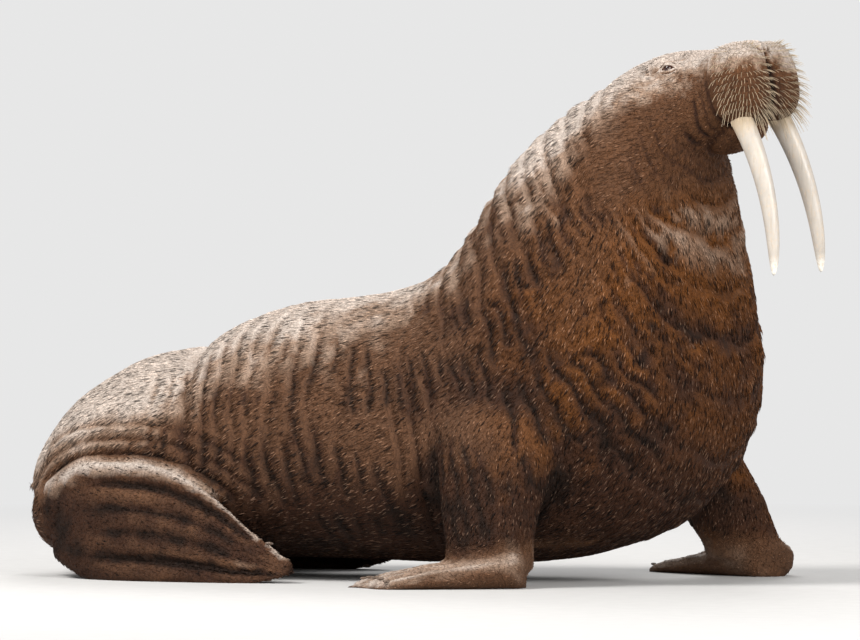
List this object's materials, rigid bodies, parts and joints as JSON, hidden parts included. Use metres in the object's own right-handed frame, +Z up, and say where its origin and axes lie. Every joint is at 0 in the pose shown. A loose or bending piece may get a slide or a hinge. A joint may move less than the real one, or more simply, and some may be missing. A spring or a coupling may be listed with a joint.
{
  "type": "walrus",
  "caption": "Life-size bull walrus sitting up on its foreflippers with its head raised and turned a little to its right, tusks hanging and hind flippers tucked forward.",
  "frame": {"origin": "centre of the bounding box on the floor, between the soles", "axes": "+X is the way the body faces, +Y is the animal's left, +Z is up"},
  "size_m": [2.8856, 1.63, 1.8133],
  "materials": {
    "pale_hide": "dull short-haired hide",
    "brown_hide": "dull short-haired hide",
    "dark_hide": "dull bare hide",
    "ivory": "satin tusk ivory",
    "eye": "wet"
  },
  "bodies": {
    "root": {"rump": "pale_hide", "torso": "pale_hide", "chest": "brown_hide", "neck": "brown_hide", "head": "pale_hide", "tail": "brown_hide", "lower_jaw": "brown_hide", "muzzle_pad_left": "brown_hide", "muzzle_pad_right": "brown_hide", "tusk_left": "ivory", "tusk_right": "ivory", "eye_left": "eye", "eye_right": "eye", "arm_left": "brown_hide", "arm_right": "brown_hide", "foreflipper_left": "dark_hide", "foreflipper_right": "dark_hide", "ankle_left": "brown_hide", "ankle_right": "brown_hide", "hind_flipper_left": "dark_hide", "hind_flipper_right": "dark_hide"}
  },
  "joints": []
}
